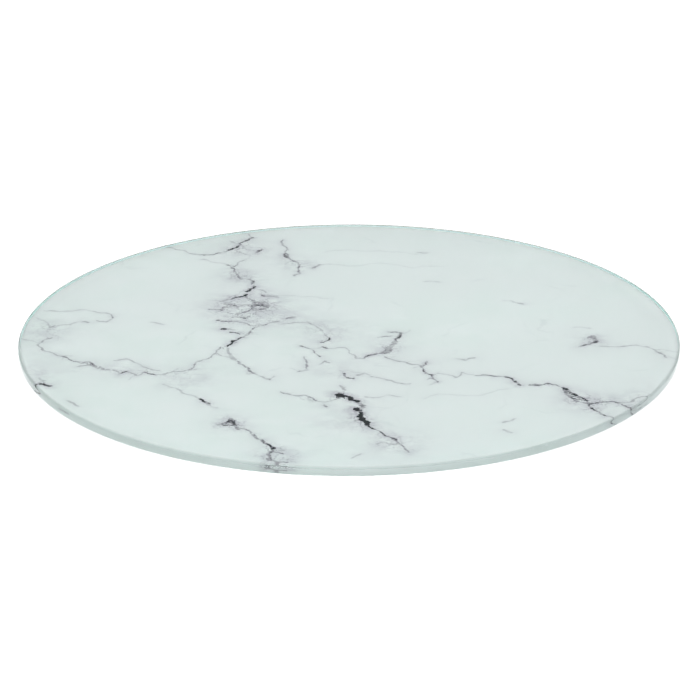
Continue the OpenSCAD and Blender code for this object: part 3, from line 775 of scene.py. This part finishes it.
def creased(graph, mesh, limit=0.6):
    """Smooth faces with sharp edges where two faces meet at more than limit."""
    fold = graph.add("GeometryNodeInputMeshEdgeAngle", out="Unsigned Angle")
    mesh = graph.add("GeometryNodeSetShadeSmooth", {"domain": "FACE"}, {0: mesh, "Shade Smooth": True})
    return graph.add("GeometryNodeSetShadeSmooth", {"domain": "EDGE"},
                     {0: mesh, "Selection": fold > limit, "Shade Smooth": False})


tree, g, size = recipe("race_screws", Circle=float, Height=float, Over=float, Core=float, Crest=float,
                       Pitch=float, Count=int, Finish="material")
length, head_r, core = 5.0 * MM, 2.6 * MM, 1.1 * MM
head_h, edge, point = 1.4 * MM, 0.5 * MM, 0.6 * MM
shank_step, shank_rows = 0.1 * MM, 44
shank = [(core, -length + point + i * shank_step) for i in range(shank_rows)]
rows = ([(0, -length), (0.3 * MM, -length)] + shank
        + [(core, 0), (head_r - 0.1 * MM, 0), (head_r, 0.1 * MM)]
        + arc(head_r - edge, head_h - edge, edge, 0, 90, 6) + [(0.6 * MM, head_h), (0, head_h)])


def thread(turn, rise, reach):
    """The rolled thread: a ridge that climbs one pitch in each turn and runs out at both ends."""
    phase = (rise / size["Pitch"] - turn / (2 * math.pi)).maths("FRACT")
    ridge = 1.0 - abs(phase * 2.0 - 1.0)
    shown = rise.ease(-length + point, -length + 1.3 * MM) * rise.ease(-0.9 * MM, -0.5 * MM, 1.0, 0.0)
    return ridge * shown * (size["Crest"] - size["Core"])


screw = turned(g, rows, 64, thread)
screw = g.add("GeometryNodeMergeByDistance", {}, {0: screw, "Distance": 2e-6})
slot_size = (2.9 * MM, 0.8 * MM, 1.6 * MM)
for quarter in (45, 135):
    slot_cut = g.add("GeometryNodeMeshCube", {}, {"Size": slot_size})
    slot_cut = g.add("GeometryNodeTransform", {}, {0: slot_cut, "Translation": (0, 0, head_h),
                                                   "Rotation": (0, 0, math.radians(quarter))})
    screw = g.add("GeometryNodeMeshBoolean", {"operation": "DIFFERENCE", "solver": "EXACT"},
                  {"Mesh 1": screw, "Mesh 2": slot_cut}, "Mesh")
screw = creased(g, screw)
ear_angle = math.radians(30)
spots = g.add("GeometryNodeMeshCircle", {}, {"Vertices": size["Count"], "Radius": size["Circle"]})
spots = g.add("GeometryNodeTransform", {}, {
    0: spots, "Rotation": (0, 0, ear_angle),
    "Translation": g.add("ShaderNodeCombineXYZ", {}, {0: 0.0, 1: 0.0, 2: size["Height"]})})
driven = g.add("FunctionNodeRandomValue", {"data_type": "FLOAT"}, {2: 0.0, 3: 6.28, "Seed": 5}, 1)
tilt = g.add("ShaderNodeCombineXYZ", {}, {0: size["Over"] * math.pi, 1: 0.0, 2: driven})
screws = g.add("GeometryNodeInstanceOnPoints", {}, {0: spots, "Instance": screw, "Rotation": tilt})
closed(g, screws, size["Finish"])

screw_zinc = Finish("screw_zinc", Metallic=1.0)
mottle = screw_zinc.noise(screw_zinc.place, 1300.0, 3.0, 0.6)
screw_zinc.set(Base_Color=screw_zinc.mixed(mottle.ease(0.3, 0.7), (0.52, 0.55, 0.58), (0.66, 0.67, 0.68)),
               Roughness=0.24 + 0.22 * mottle)
screw_zinc.bumpy(mottle, 0.00003, 0.5)
ear_at = 69 * MM
for node, body, over in (("lower_race_screws", "base", 0.0), ("upper_race_screws", "plate", 1.0)):
    low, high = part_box(node)
    seat = low.z + head_h if over else high.z - head_h
    screws = grown(node + "_set", tree, {
        "Circle": ear_at, "Height": seat, "Over": over, "Core": core, "Crest": 1.45 * MM,
        "Pitch": 0.8 * MM, "Count": 3, "Finish": screw_zinc.material}, screw_zinc)
    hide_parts(node)
    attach(screws, body)


# ---- pivot bush ----
# Turned from natural acetal rod and pressed into the carrier's hub; its flange carries the washer.
# The tool leaves fine rings round the axis, and the bare plastic looks waxy.
acetal = Finish("acetal", IOR=1.48, Subsurface_Weight=0.15, Subsurface_Scale=0.002)
x, y, z = acetal.parts(acetal.place)
rings_per_metre = 6000.0
tool_path = acetal.add("ShaderNodeCombineXYZ", {}, {0: (x * x + y * y) ** 0.5 * rings_per_metre,
                                                    1: z * rings_per_metre, 2: 0.0})
rings = acetal.noise(tool_path, 1.0, 2.0)
waxy = acetal.noise(acetal.place, 240.0, 3.0)
acetal.set(Base_Color=acetal.mixed(waxy.ease(0.3, 0.7), (0.76, 0.745, 0.67), (0.81, 0.795, 0.73)),
           Roughness=0.24 + 0.18 * rings)
acetal.bumpy(rings, 0.00003, 0.5)
finish_node("pivot_bush", acetal)


# ---- ball cage ----
# Moulded in natural nylon, a ring with twelve collared pockets that keep the balls apart.
# It floats between the races, held by the balls alone, and picks up some of their grease.
nylon = Finish("nylon", IOR=1.53, Subsurface_Weight=0.2, Subsurface_Scale=0.0015)
grainy = nylon.noise(nylon.place, 1700.0, 3.0, 0.6)
greasy = nylon.noise(nylon.place, 210.0, 4.0, 0.6).ease(0.45, 0.62)
natural = nylon.mixed(nylon.noise(nylon.place, 60.0, 2.0), (0.70, 0.68, 0.57), (0.78, 0.76, 0.67))
nylon.set(Base_Color=nylon.mixed(greasy * 0.5, natural, (0.60, 0.53, 0.38)),
          Roughness=(0.50 + 0.12 * grainy) - 0.24 * greasy)
nylon.bumpy(grainy, 0.00005, 0.5)
finish_node("ball_cage", nylon)


# ---- balls ----
# Twelve ground and polished bearing balls of 6 mm, each wet with a little grease from the track.
# They are smaller than nominal by a hair, so that their facets never cut the races as they roll.
facet_gap = 0.02 * MM
tree, g, size = recipe("bearing_ball", Radius=float, Facets=int, Place="vector", Finish="material")
ball = g.add("GeometryNodeMeshIcoSphere", {}, {"Radius": size["Radius"], "Subdivisions": size["Facets"]})
ball = g.add("GeometryNodeTransform", {}, {0: ball, "Translation": size["Place"]})
closed(g, g.add("GeometryNodeSetShadeSmooth", {}, {0: ball}), size["Finish"], 1e-7)

polished = Finish("bearing_steel", Metallic=1.0)
film = polished.noise(polished.place, 420.0, 4.0, 0.6).ease(0.45, 0.65)
scratches = polished.noise(polished.add("ShaderNodeVectorMath", {"operation": "MULTIPLY"},
                                        {0: polished.place, 1: (900.0, 9000.0, 4000.0)}), 1.0, 2.0)
polished.set(Base_Color=polished.mixed(film * 0.35, (0.74, 0.75, 0.76), (0.66, 0.60, 0.47)),
             Roughness=0.05 + 0.05 * scratches + 0.14 * film, Coat_Weight=film * 0.5, Coat_Roughness=0.2)
polished.bumpy(scratches + film, 0.00001, 0.4)
for number in range(1, 13):
    low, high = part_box(f"ball_{number}")
    ball = grown(f"bearing_ball_{number}", tree, {
        "Radius": (high.z - low.z) / 2 - facet_gap, "Facets": 5, "Place": (low + high) / 2,
        "Finish": polished.material}, polished)
    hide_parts(f"ball_{number}")
    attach(ball, f"ball_{number}")


# ---- pivot pin and thrust washer ----
# Both are turned from steel bar and zinc plated, so the marks of the tool run round the axis.
# The pin stands in the base and passes through the bush, and the washer bears the clip's pull.
for node, tone in (("pivot_pin", 0.66), ("thrust_washer", 0.60)):
    bar = Finish(node + "_zinc", Metallic=1.0)
    x, y, z = bar.parts(bar.place)
    path = bar.add("ShaderNodeCombineXYZ", {}, {0: (x * x + y * y) ** 0.5 * 7000.0, 1: z * 7000.0,
                                                2: y.maths("ARCTAN2", x) * 0.7})
    marks = bar.noise(path, 1.0, 2.0)
    tarnish = bar.noise(bar.place, 480.0, 3.0)
    bar.set(Base_Color=bar.mixed(tarnish.ease(0.35, 0.7), (tone, tone + 0.01, tone + 0.02),
                                 (tone - 0.12, tone - 0.11, tone - 0.08)),
            Roughness=0.16 + 0.22 * marks + 0.08 * tarnish)
    bar.bumpy(marks, 0.00004, 0.6)
    finish_node(node, bar)


# ---- spring clip ----
# Stamped from spring steel, hardened and phosphated black, and snapped into the groove of the pin.
# It keeps the plate on the base when the turntable is lifted by the glass.
phosphate = Finish("phosphate", Metallic=0.6)
crystals = phosphate.noise(phosphate.place, 3800.0, 2.0)
worn = phosphate.noise(phosphate.place, 700.0, 3.0, 0.7).ease(0.55, 0.7)
phosphate.set(Base_Color=phosphate.mixed(worn * 0.6, (0.045, 0.045, 0.05), (0.22, 0.22, 0.23)),
              Roughness=(0.46 + 0.2 * crystals) - 0.12 * worn)
phosphate.bumpy(crystals, 0.00004, 0.6)
finish_node("spring_clip", phosphate)


# ---- rubber feet ----
# Six feet moulded in soft grey rubber: a grooved sole, fluted sides to grip them by, and a barbed
# stem that was pulled through the floor of the shell.
tree, g, size = recipe("rubber_feet", Circle=float, Sole=float, Flutes=float, Flute_Depth=float,
                       Count=int, Finish="material")
low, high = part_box("foot_1")
shell_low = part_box("base_shell")[0].z
sole, pocket, tip = (high.x - low.x) / 2, shell_low + 1.0 * MM, high.z
floor_top, stem, barb = shell_low + 2.4 * MM, 1.9 * MM, 2.7 * MM
lip, edge = 0.12 * MM, 0.8 * MM
rows = [(0, 0.0)]
for inner, outer in ((2.0 * MM, 3.0 * MM), (4.0 * MM, 5.0 * MM)):
    rows += (arc(inner - lip, lip, lip, -90, 0, 3) + arc(inner + lip, 0.4 * MM - lip, lip, 180, 90, 3)
             + arc(outer - lip, 0.4 * MM - lip, lip, 90, 0, 3) + arc(outer + lip, lip, lip, 180, 270, 3))
rows += (arc(sole - edge, edge, edge, -90, 0, 8) + [(sole, 1.0 * MM), (sole, 1.4 * MM), (sole, 2.4 * MM)]
         + [(sole, 2.8 * MM)] + arc(sole - 0.2 * MM, pocket - 0.2 * MM, 0.2 * MM, 0, 90, 3)
         + [(stem, pocket), (stem, floor_top + 0.05 * MM)]
         + arc(barb - 0.15 * MM, floor_top + 0.2 * MM, 0.15 * MM, -90, 20, 4)
         + [(stem - 0.5 * MM, tip - 0.1 * MM), (stem - 0.6 * MM, tip), (0, tip)])


def flutes(turn, rise, reach):
    """Shallow flutes down the side of the sole."""
    on_side = rise.ease(0.9 * MM, 1.4 * MM) * rise.ease(2.4 * MM, 2.8 * MM, 1.0, 0.0)
    on_side = on_side * (reach > size["Sole"] - 0.05 * MM)
    return ((turn * size["Flutes"]).maths("COSINE") - 1.0) * on_side * size["Flute_Depth"] * 0.5


foot = creased(g, g.add("GeometryNodeMergeByDistance", {}, {0: turned(g, rows, 192, flutes),
                                                            "Distance": 2e-6}))
spots = g.add("GeometryNodeMeshCircle", {}, {"Vertices": size["Count"], "Radius": size["Circle"]})
feet = g.add("GeometryNodeInstanceOnPoints", {}, {0: spots, "Instance": foot})
closed(g, feet, size["Finish"])

rubber = Finish("grey_rubber", IOR=1.5, Specular_IOR_Level=0.35)
x, y, z = rubber.parts(rubber.place)
bloom = rubber.noise(rubber.place, 260.0, 4.0, 0.65)
matt = rubber.noise(rubber.place, 2800.0, 2.0)
scuffed = (1.0 - z.ease(0.02 * MM, 0.5 * MM)) * bloom.ease(0.45, 0.65)
grey = rubber.mixed(bloom.ease(0.35, 0.7), (0.145, 0.150, 0.150), (0.185, 0.190, 0.188))
rubber.set(Base_Color=rubber.mixed(scuffed * 0.5, grey, (0.34, 0.34, 0.33)),
           Roughness=0.62 + 0.2 * matt + 0.1 * bloom)
rubber.bumpy(matt, 0.00006, 0.6)
feet = grown("grip_feet", tree, {
    "Circle": (low.x + high.x) / 2, "Sole": sole, "Flutes": 24.0, "Flute Depth": 0.3 * MM,
    "Count": 6, "Finish": rubber.material}, rubber)
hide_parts(*(f"foot_{i}" for i in range(1, 7)))
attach(feet, "base")
